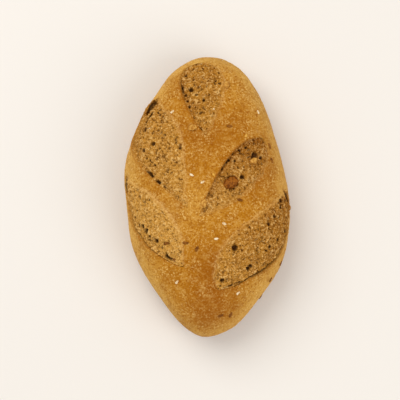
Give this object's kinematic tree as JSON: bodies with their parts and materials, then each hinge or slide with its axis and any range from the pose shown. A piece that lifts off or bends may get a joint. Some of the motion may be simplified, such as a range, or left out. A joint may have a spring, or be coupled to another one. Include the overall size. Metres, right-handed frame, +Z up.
{
  "type": "muesli bread loaf",
  "caption": "Oval hearth loaf of muesli bread with slashed openings of rough crumb, seeds, nut bits and a raisin.",
  "frame": {"origin": "middle of the loaf's length and width, on the flat face it rests on", "axes": "+Z up through the crown; +Y along the loaf, towards the end with the round slash; +X across it"},
  "size_m": [0.1297, 0.2202, 0.0698],
  "materials": {
    "crust": "baked golden-brown crust, matt with a light dusting of flour; coarse tan crumb in the slashes, pale sesame, brown flax seeds and nut bits",
    "raisin_skin": "wrinkled red-brown dried fruit skin with a soft sheen"
  },
  "bodies": {
    "root": {"loaf": "crust", "raisin": "raisin_skin"}
  },
  "joints": []
}
